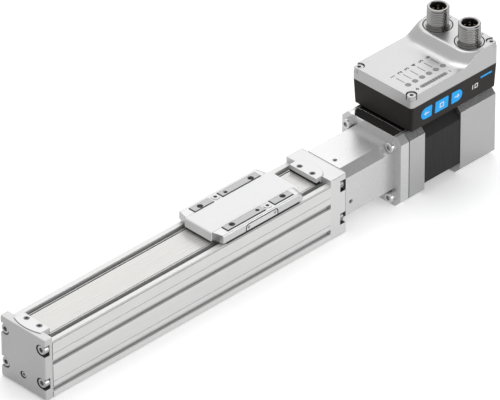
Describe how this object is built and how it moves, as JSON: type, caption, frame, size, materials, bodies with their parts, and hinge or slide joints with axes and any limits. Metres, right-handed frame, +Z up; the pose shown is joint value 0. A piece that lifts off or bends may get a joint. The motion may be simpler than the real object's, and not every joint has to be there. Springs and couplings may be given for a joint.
{
  "type": "electric spindle axis unit",
  "caption": "Slim linear axis: extruded body with a ball-screw slide, square coupling neck, stepper motor and an electronics box with push buttons and round connectors on top.",
  "frame": {"origin": "middle of the profile's underside", "axes": "+X along the travel towards the motor, +Y across, +Z up from the mounting face"},
  "size_m": [0.3173, 0.0428, 0.0825],
  "materials": {
    "anodised_aluminium": "fine satin anodised extrusion",
    "cast_aluminium": "fine bead-blasted die casting",
    "machined_aluminium": "milled, light anodised",
    "steel_strip": "finely brushed stainless",
    "screw_steel": "bright galvanised",
    "ground_steel": "ground and hardened",
    "black_oxide": "black oxide",
    "lamination_steel": "black lacquered sheet stack",
    "copper_winding": "lacquered copper",
    "nickel_plate": "nickel plated brass",
    "black_housing": "finely textured black moulding",
    "slide_polymer": "silver grey, smooth",
    "blue_button": "silky blue moulding",
    "grey_lens": "smoked translucent",
    "contact_insert": "black moulding",
    "gold_contact": "gold plated",
    "seal_rubber": "smooth black rubber",
    "buffer_rubber": "black elastomer",
    "board_laminate": "green laminate"
  },
  "bodies": {
    "frame": {"base_screws": "screw_steel", "bearing_retainer": "black_oxide", "cap_plug_screw": "screw_steel", "circuit_boards": "board_laminate", "clamp_screws": "screw_steel", "connector_inserts": "contact_insert", "connector_pins": "gold_contact", "connector_seals": "seal_rubber", "connector_shells": "nickel_plate", "coupling_housing": "machined_aluminium", "cover_screws": "screw_steel", "cover_seal": "seal_rubber", "cover_strip": "steel_strip", "drive_cap": "machined_aluminium", "drive_cap_screws": "screw_steel", "drive_strip_clamp": "machined_aluminium", "electronics_base": "black_housing", "electronics_cover": "cast_aluminium", "electronics_gasket": "seal_rubber", "end_buffers": "buffer_rubber", "flange_screws": "screw_steel", "flange_washers": "screw_steel", "front_cap_screws": "screw_steel", "front_end_cap": "machined_aluminium", "front_strip_clamp": "machined_aluminium", "guide_rail": "ground_steel", "housing_grub_screws": "screw_steel", "indicator_lenses": "grey_lens", "light_bar": "grey_lens", "motor_bearing_outers": "ground_steel", "motor_front_bell": "cast_aluminium", "motor_laminations": "lamination_steel", "motor_rear_bell": "cast_aluminium", "motor_tie_screws": "screw_steel", "motor_windings": "copper_winding", "profile": "anodised_aluminium", "rail_screws": "screw_steel", "screw_bearing_outers": "ground_steel", "strip_carrier": "machined_aluminium"},
    "carriage": {"carriage_plate": "machined_aluminium", "carriage_cover": "slide_polymer", "side_covers": "machined_aluminium", "side_cover_screws": "screw_steel", "centring_sleeves": "screw_steel", "nut_housing": "machined_aluminium", "saddle_screws": "screw_steel", "ball_nut": "ground_steel", "runner_block": "ground_steel"},
    "spindle": {"ball_screw": "ground_steel", "screw_bearing_inners": "ground_steel", "bearing_locknut": "black_oxide", "screw_coupling_hub": "machined_aluminium", "coupling_spider": "buffer_rubber", "motor_coupling_hub": "machined_aluminium", "motor_shaft": "ground_steel", "motor_rotor": "lamination_steel", "motor_bearing_inners": "ground_steel"},
    "button_left": {"left_button": "blue_button"},
    "button_centre": {"centre_button": "blue_button"},
    "button_right": {"right_button": "blue_button"}
  },
  "joints": [
    {"name": "carriage_slide", "type": "slide", "parent": "frame", "child": "carriage", "axis": [-1, 0, 0], "range_m": [0, 0.1]},
    {"name": "spindle_turn", "type": "hinge", "parent": "frame", "child": "spindle", "pos_m": [0, 0, 0.0206], "axis": [1, 0, 0], "range_deg": [-1, 4501]},
    {"name": "button_left_press", "type": "slide", "parent": "frame", "child": "button_left", "axis": [0, 1, 0], "range_m": [0, 0.0004], "stiffness_N_per_m": 800, "springref_m": -0.0005},
    {"name": "button_centre_press", "type": "slide", "parent": "frame", "child": "button_centre", "axis": [0, 1, 0], "range_m": [0, 0.0004], "stiffness_N_per_m": 800, "springref_m": -0.0005},
    {"name": "button_right_press", "type": "slide", "parent": "frame", "child": "button_right", "axis": [0, 1, 0], "range_m": [0, 0.0004], "stiffness_N_per_m": 800, "springref_m": -0.0005}
  ],
  "couplings": [
    {"joint": "spindle_turn", "follows": "carriage_slide", "rad_per_m": 785.4}
  ]
}
